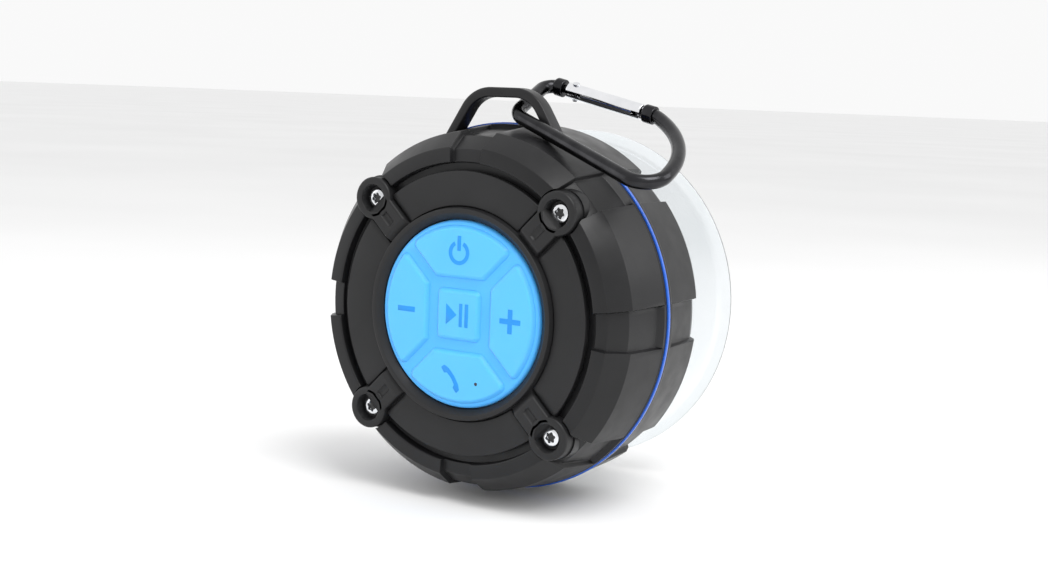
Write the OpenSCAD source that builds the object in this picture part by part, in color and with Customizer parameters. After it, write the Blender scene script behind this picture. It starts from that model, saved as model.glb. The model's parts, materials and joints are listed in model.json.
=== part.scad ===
// Round clip-on shower speaker with a front key pad, a loop handle, a spring
// snap hook and a screw-in suction cup. Units are millimetres.
// Every part is drawn in a front view: x right, y up, z out from the wall,
// with the wall at z = 0. seat() then turns that view so that z faces -Y.

/* [Body] */
// Radius of the coloured trim ring, the widest part of the body
trim_radius = 43; // [41:0.5:46]
// Radius of the front shell where it meets the trim ring
shell_radius = 42.6; // [41:0.1:45]
// Height of the face plates above the wall
face_height = 55.8; // [54:0.1:58]
// Angle of each bare recess between two bumper plates
recess_angle = 12.8; // [8:0.1:18]
// Radius of the circle the four case screws stand on
screw_circle = 34.65; // [33:0.05:36]

/* [Key pad] */
// How far the key faces stand out from the face plates
key_rise = 1.2; // [0.6:0.1:1.2]
// Radius of the soft key pad
pad_radius = 21.25; // [18:0.25:24]
// Side of the square centre key
centre_key = 11.6; // [9:0.1:12]
// Width of the valleys between the keys
key_valley = 2.4; // [1.5:0.1:4]
// Distance of the outer key symbols from the centre
symbol_radius = 14; // [12:0.1:15]
// How far a key goes down
key_travel = 0.6; // [0.3:0.1:0.6]

/* [Handle and hook] */
// Height of the handle's top over the body axis
handle_top = 50.9; // [49:0.1:56]
// Thickness of the handle band
handle_thickness = 2.3; // [2:0.1:4]
// Diameter of the hook's bar
hook_bar = 3.2; // [3:0.1:3.4]

/* [Suction cup] */
// Radius of the cup's rim
cup_radius = 41.25; // [30:0.25:45]

/* [Hidden] */
$fn = 96;
tiny = 0.01;
clear = 0.3;

// Heights above the wall
seam = 37.5;
trim_width = 0.9;
rear_top = seam - trim_width;
rear_face = 19.5;
rear_inside = 21.9;
cover_top = face_height + 1.2;
cover_seat = face_height - 2.2;
floor_front = 50.6;
floor_back = 49;
frame_front = 51.8;
web_front = 52.8;
key_top = face_height + key_rise;
mat_top = key_top - 0.8;
board_front = 46.8;
board_back = 45.8;
main_front = 40.2;
main_back = 39.2;
boss_back = 14;

// Radii shared by several parts
spigot_radius = 39.2;
socket_radius = 39.4;
seal_inner = 38.6;
wall_inner = 38.2;
groove_outer = 34;
plate_outer = 32.2;
lip_inner = 22.6;
lip_outer = 24;
lug_radius = 4.9;
post_radius = 3.5;
screw_hole = 1.5;
screw_shank = 1.3;
plate_span = 45 - recess_angle;
corners = [45, 135, 225, 315];
sides = [0, 90, 180, 270];

black = [0.09, 0.09, 0.1];
blue = [0.3, 0.75, 1];

module seat() rotate([90, 0, 0]) children();

module spin(points) rotate_extrude() polygon(points);

module tube(outer, inner, bottom, top) {
    translate([0, 0, bottom]) difference() {
        cylinder(r = outer, h = top - bottom);
        translate([0, 0, -1]) cylinder(r = inner, h = top - bottom + 2);
    }
}

module disc(radius, bottom, top) {
    translate([0, 0, bottom]) cylinder(r = radius, h = top - bottom);
}

module around(angles, radius) {
    for (a = angles) rotate([0, 0, a]) translate([radius, 0, 0]) children();
}

module block(x, y, bottom, top) {
    translate([-x / 2, -y / 2, bottom]) cube([x, y, top - bottom]);
}

// ---- housing -------------------------------------------------------------

module bumper_plates(points) {
    for (i = [0 : 7]) {
        rotate([0, 0, i * 45 + recess_angle / 2])
            rotate_extrude(angle = plate_span) polygon(points);
    }
}

// points along an arc, with angles counted clockwise from straight up
function arc(x, y, radius, from, to) =
    [for (i = [0 : 12]) let (a = from + (to - from) * i / 12)
        [x + radius * sin(a), y + radius * cos(a)]];

// flat-topped arch whose legs end inside the front shell's wall
module handle_band() {
    bend = 9;
    lean = 58;
    bend_x = 3.4;
    leg = 12.4;
    depth = 4.3;
    inner = bend - handle_thickness;
    centre_y = handle_top - bend;
    foot = [bend_x + leg * cos(lean), centre_y - leg * sin(lean)];
    half = concat(arc(bend_x, centre_y, bend, 0, lean),
                  [[foot[0] + bend * sin(lean), foot[1] + bend * cos(lean)],
                   [foot[0] + inner * sin(lean), foot[1] + inner * cos(lean)]],
                  arc(bend_x, centre_y, inner, lean, 0));
    other = [for (i = [len(half) - 1 : -1 : 0]) [-half[i][0], half[i][1]]];
    translate([0, 0, seam]) linear_extrude(depth) difference() {
        polygon(concat(half, other));
        circle(socket_radius + 0.4);
    }
}

module front_shell() color(black) seat() {
    difference() {
        union() {
            spin([[22, floor_back], [22, floor_front], [24.6, floor_front],
                  [24.6, cover_seat], [groove_outer, cover_seat],
                  [groove_outer, 54.8], [36.9, 54.5], [39.9, 50.3],
                  [41.3, 39.6], [shell_radius, 38.9], [shell_radius, seam],
                  [socket_radius, seam], [socket_radius, 40.2], [39, 40.2],
                  [wall_inner, 49.6], [36.2, 51.6], [26.4, 51.6], [26.4, floor_back]]);
            disc(22.2, floor_back, floor_front);
            bumper_plates([[groove_outer + 0.2, 54], [groove_outer + 0.2, 56],
                           [37.4, 55.7], [41, 50.7], [shell_radius - 0.12, 38.2],
                           [40.9, 38.2], [39.4, 50], [36.4, 54]]);
            around(corners, screw_circle) {
                disc(5.2, 46, cover_seat);
                disc(post_radius, 36, cover_seat);
            }
            for (x = [-25, 25], y = [-12, 12])
                translate([x, y, 0]) disc(2.2, main_front, 51.8);
            for (x = [-10, 10], y = [-17.2, 17.2])
                translate([x, y, 0]) disc(2.2, board_front, floor_back + 1);
        }
        around(corners, screw_circle) {
            disc(screw_hole, 30, 60);
            disc(lug_radius + 0.4, cover_seat, 60);
        }
        for (x = [-25, 25], y = [-12, 12])
            translate([x, y, 0]) disc(0.85, main_front - 1, 47);
        for (x = [-10, 10], y = [-17.2, 17.2])
            translate([x, y, 0]) disc(0.85, board_front - 1, 49.6);
        key_places() disc(2.7, 48, 52);
        translate([mic_x, mic_y, 0]) disc(0.7, 48, 52);
        handle_band();
        port_pocket();
    }
}

module front_cover() color([0.13, 0.13, 0.14]) seat() {
    arm = 6.7;
    difference() {
        union() {
            spin([[lip_inner, web_front], [lip_inner - 0.2, 55.6],
                  [lip_inner + 0.6, cover_top], [lip_outer - 0.2, cover_top],
                  [lip_outer, 56.4], [plate_outer, face_height],
                  [plate_outer, cover_seat], [24.4, cover_seat],
                  [24.4, web_front]]);
            for (a = corners) rotate([0, 0, a]) {
                translate([lip_outer - 0.3, -arm / 2, cover_seat])
                    cube([screw_circle - lip_outer + 0.3, arm, cover_top - cover_seat]);
            }
            around(corners, screw_circle) disc(lug_radius, cover_seat, cover_top);
        }
        for (a = corners) rotate([0, 0, a]) {
            // bevel where the arm leaves the lip
            translate([lip_outer, -5, cover_top]) rotate([0, 24, 0])
                translate([-2, 0, 0]) cube([4, 10, 2]);
            // groove along the arm
            translate([26.6, -0.7, cover_top - 0.5]) cube([4.6, 1.4, 1]);
            for (side = [-1, 1])
                translate([25.2, side * (arm / 2 + 0.3) - 0.3, face_height - 0.4])
                    cube([7.6, 0.6, 1]);
            translate([screw_circle, 0, 0]) {
                disc(2.8, face_height - 1.5, cover_top + 1);
                disc(screw_hole, cover_seat - 1, cover_top);
            }
        }
    }
}

module case_screws() color([0.8, 0.8, 0.82]) seat() {
    head_seat = face_height - 1.5;
    around(corners, screw_circle) difference() {
        union() {
            disc(2.1, head_seat, head_seat + 1.1);
            disc(screw_shank, 31, head_seat + tiny);
        }
        translate([0, 0, head_seat + 0.4]) cylinder(r = 1.2, h = 1, $fn = 6);
    }
}

module case_inserts() color([0.8, 0.65, 0.3]) seat()
    around(corners, screw_circle) tube(2.1, screw_shank, 29.5, 35.9);

module trim_ring() color([0.1, 0.45, 1]) seat()
    tube(trim_radius, spigot_radius, rear_top, seam);

module case_seal() color([0.2, 0.2, 0.2]) seat() tube(socket_radius, seal_inner, 38.2, 39.2);

module rear_shell() color(black) seat() {
    difference() {
        union() {
            spin([[0, rear_face], [39.4, rear_face], [40.6, 20.6], [41.4, 23],
                  [41.7, 34.8], [42.9, 35.4], [42.9, rear_top],
                  [spigot_radius, rear_top], [spigot_radius, 38.2], [seal_inner, 38.2],
                  [wall_inner, 38.2], [wall_inner, rear_inside], [0, rear_inside]]);
            bumper_plates([[39, rear_face + 0.4], [40.4, rear_face + 0.4], [41.8, 20.9],
                           [42.5, 22.6], [42.8, 35.9], [41, 35.9], [40.9, 23]]);
            around(corners, screw_circle) disc(post_radius, rear_face + 1, 36);
            around(sides, 24.4) disc(2.1, rear_face + 1, 23.2);
            disc(9, boss_back, rear_face + 1);
        }
        around(corners, screw_circle) {
            disc(2.1, 29.5, 35.9);
            disc(screw_hole, 27, 37);
        }
        around(sides, 24.4) disc(0.8, 20.9, 24);
        disc(6, boss_back - 1, 20.3);
        for (i = [0 : 15]) rotate([0, 0, i * 22.5 + 11.25])
            translate([10.6, -0.8, rear_face - 1]) cube([8.6, 1.6, 4]);
    }
}

module stud_bush() color([0.8, 0.65, 0.3]) seat()
    tube(6, 4.2, boss_back, 20.3);

module handle() color(black) seat() handle_band();

// ---- charging port -------------------------------------------------------

port_z = 41.5;
port_floor = 40.3;
lid_front = 44.6;

module port_pocket() {
    // pocket for the lid, then the way in to the socket
    translate([-port_floor - 10, -4.2, 38.8]) cube([10, 8.4, lid_front - 38.6]);
    translate([-port_floor - 1, -4, port_z - 1.6]) cube([6, 8, 3.2]);
}

module port_cover() color([0.12, 0.12, 0.13]) seat() difference() {
    translate([-port_floor - 1.05, -4, 39]) cube([1, 8, lid_front - 39]);
    translate([-port_floor - 1.6, -1.5, 38.5]) cube([1.1, 3, 1]);
}

module usb_socket() color([0.75, 0.75, 0.78]) seat() difference() {
    translate([-38, -3.75, main_front]) cube([5.6, 7.5, 2.6]);
    translate([-38.5, -3.4, main_front + 0.35]) cube([4.8, 6.8, 1.9]);
}

// ---- key pad -------------------------------------------------------------

mic_x = 5.6;
mic_y = -15;

module key_places() {
    children();
    around(sides, symbol_radius) children();
}

module quadrant_key(gap) {
    inner = centre_key / 2 + key_valley - gap;
    lean = key_valley / 2 * sqrt(2) - gap * sqrt(2);
    intersection() {
        circle(20.1 + gap);
        polygon([[inner, lean - inner], [30, lean - 30], [30, 30 - lean], [inner, inner - lean]]);
    }
}

module symbol_bar(x, y) translate([-x / 2, -y / 2]) square([x, y]);

key_back = frame_front + key_travel + 0.2;
symbol_depth = 0.15;
switch_top = 49;

// a key's outline, its stem and its sunk symbol, in that order
module key_body() {
    difference() {
        union() {
            translate([0, 0, key_back]) linear_extrude(key_top - key_back) children(0);
            children(1);
        }
        translate([0, 0, key_top - symbol_depth]) linear_extrude(1) children(2);
    }
}

module stem() disc(2, switch_top + key_travel + 0.1, key_back + 0.2);

module key_mat() color(blue) seat() difference() {
    spin([[0, frame_front], [23.4, frame_front], [23.4, web_front], [pad_radius, web_front],
          [pad_radius, mat_top - 0.7], [pad_radius - 0.6, mat_top], [0, mat_top]]);
    translate([0, 0, frame_front - 1]) linear_extrude(6) {
        square(centre_key + 2 * clear, center = true);
        for (a = sides) rotate(a) quadrant_key(clear);
    }
}

module key_play() color(blue) seat() key_body() {
    square(centre_key, center = true);
    stem();
    translate([0.2, 0]) {
        polygon([[-3.2, -2.4], [-3.2, 2.4], [-0.3, 0]]);
        translate([0.7, 0]) symbol_bar(0.85, 5.3);
        translate([2.2, 0]) symbol_bar(0.85, 5.3);
    }
}

module key_volume_up() color(blue) seat() key_body() {
    quadrant_key(0);
    translate([symbol_radius, 0, 0]) stem();
    translate([symbol_radius, 0]) {
        symbol_bar(5.4, 1.15);
        symbol_bar(1.15, 5.4);
    }
}

module key_volume_down() color(blue) seat() key_body() {
    rotate(180) quadrant_key(0);
    translate([-symbol_radius, 0, 0]) stem();
    translate([-symbol_radius, 0]) symbol_bar(4.8, 1.15);
}

module key_power() color(blue) seat() key_body() {
    rotate(90) quadrant_key(0);
    translate([0, symbol_radius, 0]) stem();
    translate([0, symbol_radius]) {
        difference() {
            circle(2.75);
            circle(1.85);
            translate([0, 2]) square([2.4, 3], center = true);
        }
        translate([0, 2.1]) symbol_bar(0.95, 3.4);
    }
}

module key_call() color(blue) seat() difference() {
    key_body() {
        rotate(-90) quadrant_key(0);
        translate([0, -symbol_radius, 0]) stem();
        translate([0, -symbol_radius]) rotate(-52) {
            symbol_bar(6.6, 0.9);
            for (m = [-1, 1]) translate([m * 2.6, -0.5]) symbol_bar(1.5, 1.6);
        }
    }
    translate([mic_x, mic_y, 0]) disc(0.4, 50, key_top + 1);
}

module key_frame() color([0.2, 0.2, 0.22]) seat() difference() {
    disc(23.4, floor_front, frame_front);
    key_places() disc(2.7, 48, 54);
    translate([mic_x, mic_y, 0]) disc(0.7, 48, 54);
}

// ---- electronics ---------------------------------------------------------

module button_board() color([0.05, 0.3, 0.15]) seat() difference() {
    disc(21.6, board_back, board_front);
    for (x = [-10, 10], y = [-17.2, 17.2]) translate([x, y, 0]) disc(1.1, 40, 50);
}

module button_board_screws() color([0.7, 0.7, 0.72]) seat()
    for (x = [-10, 10], y = [-17.2, 17.2]) translate([x, y, 0]) {
        disc(1.6, board_back - 0.9, board_back);
        disc(0.8, board_back - tiny, 49.2);
    }

module tact_switches() color([0.15, 0.15, 0.15]) seat() key_places() {
    block(5, 5, board_front, 48.4);
    disc(1.5, 48.3, switch_top);
}

module microphone() color([0.7, 0.7, 0.7]) seat()
    translate([mic_x, mic_y, 0]) disc(2, board_front, 48.5);

module status_led() color([0.9, 0.95, 1]) seat()
    translate([-6, 18.6, 0]) block(2, 1.2, board_front, 47.6);

module main_board() color([0.05, 0.3, 0.15]) seat() difference() {
    union() {
        disc(30.6, main_back, main_front);
        translate([-38, -5.5, main_back]) cube([12, 11, main_front - main_back]);
    }
    for (x = [-25, 25], y = [-12, 12]) translate([x, y, 0]) disc(1.1, 38, 42);
}

module main_board_screws() color([0.7, 0.7, 0.72]) seat()
    for (x = [-25, 25], y = [-12, 12]) translate([x, y, 0]) {
        disc(1.6, main_back - 1, main_back);
        disc(0.8, main_back - tiny, 46);
    }

module radio_module() color([0.6, 0.6, 0.62]) seat()
    translate([0, 23, 0]) block(14, 9, main_front, 42);

module board_chips() color([0.1, 0.1, 0.1]) seat() {
    translate([-9, -21, 0]) block(6, 6, main_front, 41.4);
    translate([3, -21, 0]) block(8, 5, main_front, 41.6);
    translate([13, -20, 0]) disc(2.2, main_front, 44);
}

module battery() color([0.7, 0.75, 0.8]) seat() block(40, 30, 40.6, 45.4);

module battery_pad() color([0.9, 0.9, 0.8]) seat() block(34, 24, main_front, 40.6);

module battery_leads() color([0.7, 0.1, 0.1]) seat()
    for (y = [-4, 4]) translate([0, y, 0]) {
        translate([20, -0.5, 43]) cube([2.4, 1, 1]);
        translate([21.4, -0.5, main_front]) cube([1, 1, 3.8]);
    }

module board_ribbon() color([0.85, 0.85, 0.8]) seat()
    translate([0, 16.8, 0]) block(8, 0.3, main_front, board_back);

// ---- loudspeaker ---------------------------------------------------------

module speaker_screen() color([0.15, 0.15, 0.15]) seat() disc(21.6, rear_inside, 22.2);

module speaker_gasket() color([0.2, 0.2, 0.2]) seat() tube(21.6, 20, 22.2, 23.2);

module speaker_basket() color([0.35, 0.35, 0.37]) seat() difference() {
    union() {
        spin([[20, 23.2], [26.8, 23.2], [26.8, 24.2], [21, 24.2], [17, 31.6], [8, 31.6],
              [8, 30.6], [16.4, 30.6], [20, 24.6]]);
    }
    around(sides, 24.4) disc(1.1, 22, 25);
    for (a = corners) rotate([0, 0, a])
        translate([14.6, -4.5, 25.6]) cube([8, 9, 4]);
}

module speaker_screws() color([0.7, 0.7, 0.72]) seat() around(sides, 24.4) {
    disc(1.8, 24.2, 25.2);
    disc(0.8, 21.2, 24.2 + tiny);
}

module speaker_magnet() color([0.2, 0.2, 0.22]) seat() tube(14.5, 9.4, 33.2, 36.8);

module speaker_yoke() color([0.6, 0.6, 0.62]) seat() {
    tube(14, 7.8, 31.6, 33.2);
    disc(14, 36.8, 38.2);
    disc(6, 31.8, 36.9);
}

module speaker_cone() color([0.12, 0.12, 0.13]) seat() {
    spin([[16.4, 24], [16.4, 24.5], [6.4, 29], [6.4, 34.8], [6.2, 34.8], [6.2, 28.4],
          [6.6, 28.2], [15.6, 24]]);
    spin([[0, 26.4], [3, 26.7], [5.4, 27.6], [6.6, 28.2], [6.4, 28.8], [5, 28.1],
          [3, 27.3], [0, 27]]);
}

module voice_coil() color([0.8, 0.45, 0.25]) seat() tube(7.2, 6.4, 31.8, 34.6);

module speaker_surround() color([0.1, 0.1, 0.1]) seat()
    spin([[16.7, 24], [17.6, 23.2], [18.8, 23.2], [20, 24], [20, 24.4], [18.6, 23.7],
          [17.8, 23.7], [16.7, 24.4]]);

module speaker_spider() color([0.75, 0.6, 0.3]) seat() tube(13, 6.8, 30.2, 30.6);

module speaker_leads() color([0.7, 0.1, 0.1]) seat()
    for (y = [-2, 2]) translate([0, y, 0]) {
        translate([19, -0.5, 28]) cube([4, 1, 1]);
        translate([22.2, -0.5, 28]) cube([1, 1, main_back - 28]);
    }

// ---- suction cup ---------------------------------------------------------

module suction_cup() color([0.85, 0.9, 0.92, 0.5]) seat() difference() {
    spin([[0, 5.6], [14, 5], [27, 3], [37.6, 0.5], [38.6, 0], [cup_radius, 0],
          [cup_radius, 0.7], [38.4, 1.9], [28, 5], [16, 7.4], [11.4, 8.6], [11, 11.2],
          [0, 11.2]]);
    disc(7.5, 7.4, 9.4);
    disc(3.9, 7.4, 12);
}

module cup_stud() color(black) seat() {
    disc(7.5, 7.4, 9.4);
    disc(3.9, 9.3, 19.9);
}

module cup_collar() color(black) seat() difference() {
    tube(10, 3.9, 11.2, 13.4);
    for (i = [0 : 15]) rotate([0, 0, i * 22.5]) translate([10.4, 0, 11]) cylinder(r = 0.9, h = 3);
}

module stud_washer() color([0.25, 0.25, 0.25]) seat() tube(8, 4.2, 13.5, 13.95);

// ---- snap hook -----------------------------------------------------------

hook_r = hook_bar / 2;
collar_r = 2.1;
collar_length = 2.2;
gate_r = 1.85;
gate_heading = 11.4;
gate_span = 21.6;
pivot = 2.9;

// Lengths of straight bar, and [turn, radius] of each bend, from the gate's
// hinge round to its nose.
hook_path = [[1.1143], [100.4, 3.3], [11.4266], [62.6, 5.7], [34.85], [113.1, 5],
             [0.6], [53.6, 30], [0.6], [30.3, 6], [1.5]];

module hook_frame() seat() translate([6.57, 51.14, 24.25])
    rotate([-68.5, -10.5, -17]) children();

// frame whose x axis runs along the gate from its hinge to its nose
module gate_frame() hook_frame() rotate([0, 0, gate_heading]) children();

module along(start, end, radius) translate([start, 0, 0]) rotate([0, 90, 0])
    cylinder(r = radius, h = end - start, $fn = 40);

// each straight bar is a hair thinner than the bends and runs a little into them
module sweep(i) if (i < len(hook_path)) {
    piece = hook_path[i];
    if (len(piece) == 1) {
        before = i == 0 ? 0 : 0.3;
        after = i == len(hook_path) - 1 ? 0 : 0.3;
        along(-before, piece[0] + after, hook_r - 0.02);
        translate([piece[0], 0, 0]) sweep(i + 1);
    } else {
        turn = piece[0];
        radius = piece[1];
        translate([0, radius, 0]) {
            rotate([0, 0, -90]) rotate_extrude(angle = turn, $fn = 48)
                translate([radius, 0]) circle(hook_r, $fn = 40);
            rotate([0, 0, turn]) translate([0, -radius, 0]) sweep(i + 1);
        }
    }
}

module hook_body() color([0.05, 0.05, 0.06]) {
    hook_frame() rotate([0, 0, gate_heading + 180]) sweep(0);
    gate_frame() {
        along(-collar_length, 0, collar_r);
        along(gate_span, gate_span + collar_length, collar_r);
        difference() {
            translate([-tiny, -1.2, -0.5]) cube([4.2, 2.4, 1]);
            translate([pivot, 0, 0]) disc(0.5, -1, 1);
        }
        translate([gate_span - 2.2, -1.1, -0.4]) cube([2.2 + tiny, 2.2, 0.8]);
    }
}

module gate_pin() color([0.7, 0.7, 0.72]) gate_frame() translate([pivot, 0, 0]) {
    disc(0.5, -1.95, 1.95);
    disc(0.85, 1.9, 2.15);
    disc(0.85, -2.15, -1.9);
}

module hook_gate() color([0.85, 0.85, 0.87]) gate_frame() difference() {
    along(0.9, gate_span - 0.45, gate_r);
    along(4.5, 16, 1.1);
    translate([0, -3, -0.65]) cube([5.6, 6, 1.3]);
    translate([gate_span - 2.7, -3, -0.55]) cube([3, 6, 1.1]);
    translate([pivot, 0, 0]) disc(0.56, -3, 3);
}

module gate_spring() color([0.7, 0.7, 0.72]) gate_frame()
    translate([0, 0, -0.75]) along(6, 15.8, 0.3);

front_shell();
front_cover();
case_screws();
case_inserts();
trim_ring();
case_seal();
rear_shell();
stud_bush();
handle();
port_cover();
usb_socket();
key_mat();
key_play();
key_volume_up();
key_volume_down();
key_power();
key_call();
key_frame();
button_board();
button_board_screws();
tact_switches();
microphone();
status_led();
main_board();
main_board_screws();
radio_module();
board_chips();
battery();
battery_pad();
battery_leads();
board_ribbon();
speaker_screen();
speaker_gasket();
speaker_basket();
speaker_screws();
speaker_magnet();
speaker_yoke();
speaker_cone();
voice_coil();
speaker_surround();
speaker_spider();
speaker_leads();
suction_cup();
cup_stud();
cup_collar();
stud_washer();
hook_body();
gate_pin();
hook_gate();
gate_spring();
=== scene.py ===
"""Shower speaker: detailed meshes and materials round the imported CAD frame.

Shapes are written in millimetres in a front view: x right, y up, z out from the
wall, with the wall at z = 0. seat() turns that view into the row frame.
"""
import json
import math

import bmesh
import bpy
from mathutils import Euler, Matrix, Vector


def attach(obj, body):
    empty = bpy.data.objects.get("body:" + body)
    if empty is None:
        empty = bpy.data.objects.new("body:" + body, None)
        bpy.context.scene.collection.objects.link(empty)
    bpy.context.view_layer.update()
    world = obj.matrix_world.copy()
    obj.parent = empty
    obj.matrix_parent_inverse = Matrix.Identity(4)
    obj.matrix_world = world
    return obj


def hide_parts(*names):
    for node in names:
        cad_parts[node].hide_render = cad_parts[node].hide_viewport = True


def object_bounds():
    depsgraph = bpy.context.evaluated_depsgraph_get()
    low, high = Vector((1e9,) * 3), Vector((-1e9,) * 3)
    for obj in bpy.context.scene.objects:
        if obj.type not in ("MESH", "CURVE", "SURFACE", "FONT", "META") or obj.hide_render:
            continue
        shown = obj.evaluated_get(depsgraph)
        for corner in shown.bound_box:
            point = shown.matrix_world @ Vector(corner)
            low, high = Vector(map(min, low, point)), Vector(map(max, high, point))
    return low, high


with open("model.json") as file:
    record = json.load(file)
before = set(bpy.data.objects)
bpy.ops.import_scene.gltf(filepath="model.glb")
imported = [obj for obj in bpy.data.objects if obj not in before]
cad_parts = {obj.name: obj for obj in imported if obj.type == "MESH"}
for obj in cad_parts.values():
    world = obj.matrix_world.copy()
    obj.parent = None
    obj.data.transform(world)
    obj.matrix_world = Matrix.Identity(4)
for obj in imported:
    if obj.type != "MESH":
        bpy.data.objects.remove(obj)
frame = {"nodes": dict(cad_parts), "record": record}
cad_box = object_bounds()

MM = 0.001
TAU = 2 * math.pi
SHARP = 40  # degrees between two faces from which their edge stays sharp

# ---- sizes, in millimetres -----------------------------------------------------

SEAM = 37.5
PAD_RADIUS = 21.25
FACE = 55.8
COVER_TOP = 57.0
COVER_SEAT = 53.6
PLATE_OUTER = 32.2
GROOVE_OUTER = 34.0
SCREW_CIRCLE = 34.65
LUG_RADIUS = 4.9
RECESS_HALF = 6.4
CORNERS = (45, 135, 225, 315)
QUARTERS = (0, 90, 180, 270)


# ---- mesh helpers --------------------------------------------------------------


def seat(p):
    """A front-view point in the row frame, in metres."""
    return (p[0] * MM, -p[2] * MM, p[1] * MM)


def polar(radius, degrees, height=0.0):
    a = math.radians(degrees)
    return (radius * math.cos(a), radius * math.sin(a), height)


def round_angles(steps):
    """Angles in radians, evenly round a circle."""
    return [TAU * i / steps for i in range(steps)]


def on_circle(centre, radius, angle, z):
    return (centre[0] + radius * math.cos(angle), centre[1] + radius * math.sin(angle), z)


def rectangle(left, low, right, high):
    return [(left, low), (right, low), (right, high), (left, high)]


def smooth_step(x):
    x = min(max(x, 0.0), 1.0)
    return x * x * (3 - 2 * x)


def fillet(corners, radius, steps=4):
    """A closed outline with each corner rounded. A corner is (a, b) or (a, b, own radius)."""
    out = []
    n = len(corners)
    for i, corner in enumerate(corners):
        p = Vector(corner[:2])
        r = corner[2] if len(corner) > 2 else radius
        back = Vector(corners[i - 1][:2]) - p
        ahead = Vector(corners[(i + 1) % n][:2]) - p
        half = back.angle(ahead) / 2
        reach = min(r / math.tan(half), 0.45 * back.length, 0.45 * ahead.length)
        a = p + back.normalized() * reach
        b = p + ahead.normalized() * reach
        for k in range(steps + 1):
            t = k / steps
            out.append((1 - t) ** 2 * a + 2 * t * (1 - t) * p + t * t * b)
    return [(v.x, v.y) for v in out]


def join_shapes(*shapes):
    """Several (points, faces) shapes as one."""
    points, faces = [], []
    for p, f in shapes:
        start = len(points)
        points += p
        faces += [tuple(i + start for i in face) for face in f]
    return points, faces


def wrap(rows, around=True, along=True):
    """(points, faces) of a grid of rows, closed round the rows and along each row as asked."""
    n = len(rows[0])
    points = [p for row in rows for p in row]
    faces = []
    for i in range(len(rows) - (0 if around else 1)):
        k = (i + 1) % len(rows)
        for j in range(n - (0 if along else 1)):
            m = (j + 1) % n
            faces.append((i * n + j, k * n + j, k * n + m, i * n + m))
    return points, faces


def capped(rows):
    """A tube of closed rings with a flat face over each end."""
    points, faces = wrap(rows, around=False)
    n = len(rows[0])
    last = len(points) - n
    faces.append(tuple(range(n)))
    faces.append(tuple(reversed(range(last, last + n))))
    return points, faces


def prism(points, start, end):
    """An (x, y) outline drawn out from z = start to z = end."""
    return capped([[(x, y, z) for x, y in points] for z in (start, end)])


def prism_x(points, start, end):
    """A (y, z) outline drawn out from x = start to x = end."""
    return capped([[(x, y, z) for y, z in points] for x in (start, end)])


def lathe(profile, steps=96, centre=(0.0, 0.0)):
    """A closed (r, z) outline turned about the z axis through centre."""
    return wrap([[on_circle(centre, r, a, z) for r, z in profile] for a in round_angles(steps)])


def solid_lathe(profile, steps=96, centre=(0.0, 0.0)):
    """An open (r, z) outline turned about the z axis, its two ends closed with flat faces."""
    return capped([[on_circle(centre, r, a, z) for a in round_angles(steps)] for r, z in profile])


def turned(shape, degrees):
    points, faces = shape
    c, s = math.cos(math.radians(degrees)), math.sin(math.radians(degrees))
    return [(c * x - s * y, s * x + c * y, z) for x, y, z in points], faces


def add_object(name, data):
    obj = bpy.data.objects.new(name, data)
    bpy.context.scene.collection.objects.link(obj)
    return obj


def dress(name, mesh, material, body, *nodes, slot=None, sharp=SHARP):
    """Puts a finished mesh in the scene, riding on a body and standing for CAD nodes."""
    obj = add_object(name, mesh)
    mesh.shade_smooth()
    mesh.set_sharp_from_angle(angle=math.radians(sharp))
    mesh.materials.append(material)
    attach(obj, body)
    if nodes:
        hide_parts(*nodes)
    return obj


def shape_mesh(name, shape, place):
    points, faces = shape
    mesh = bpy.data.meshes.new(name)
    mesh.from_pydata([place(p) for p in points], [], faces)
    tidy_normals(mesh)
    return mesh


def piece(name, shape, material, body, *nodes, place=seat, **more):
    """Makes a mesh piece from (points, faces)."""
    return dress(name, shape_mesh(name, shape, place), material, body, *nodes, **more)


def tidy_normals(mesh):
    bm = bmesh.new()
    bm.from_mesh(mesh)
    bmesh.ops.remove_doubles(bm, verts=bm.verts, dist=1e-7)
    bmesh.ops.recalc_face_normals(bm, faces=bm.faces)
    bm.to_mesh(mesh)
    bm.free()


def carve(obj, shape, place=seat):
    """Cuts a closed shape out of a piece."""
    cutter = add_object("cutter", shape_mesh("cutter", shape, place))
    mod = obj.modifiers.new("cut", "BOOLEAN")
    mod.operation = "DIFFERENCE"
    mod.solver = "EXACT"
    mod.object = cutter
    bpy.context.view_layer.update()
    evaluated = obj.evaluated_get(bpy.context.evaluated_depsgraph_get())
    new_mesh = bpy.data.meshes.new_from_object(evaluated)
    obj.modifiers.remove(mod)
    obj.data = new_mesh
    new_mesh.set_sharp_from_angle(angle=math.radians(SHARP))
    bpy.data.objects.remove(cutter)


# ---- materials -----------------------------------------------------------------


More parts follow.
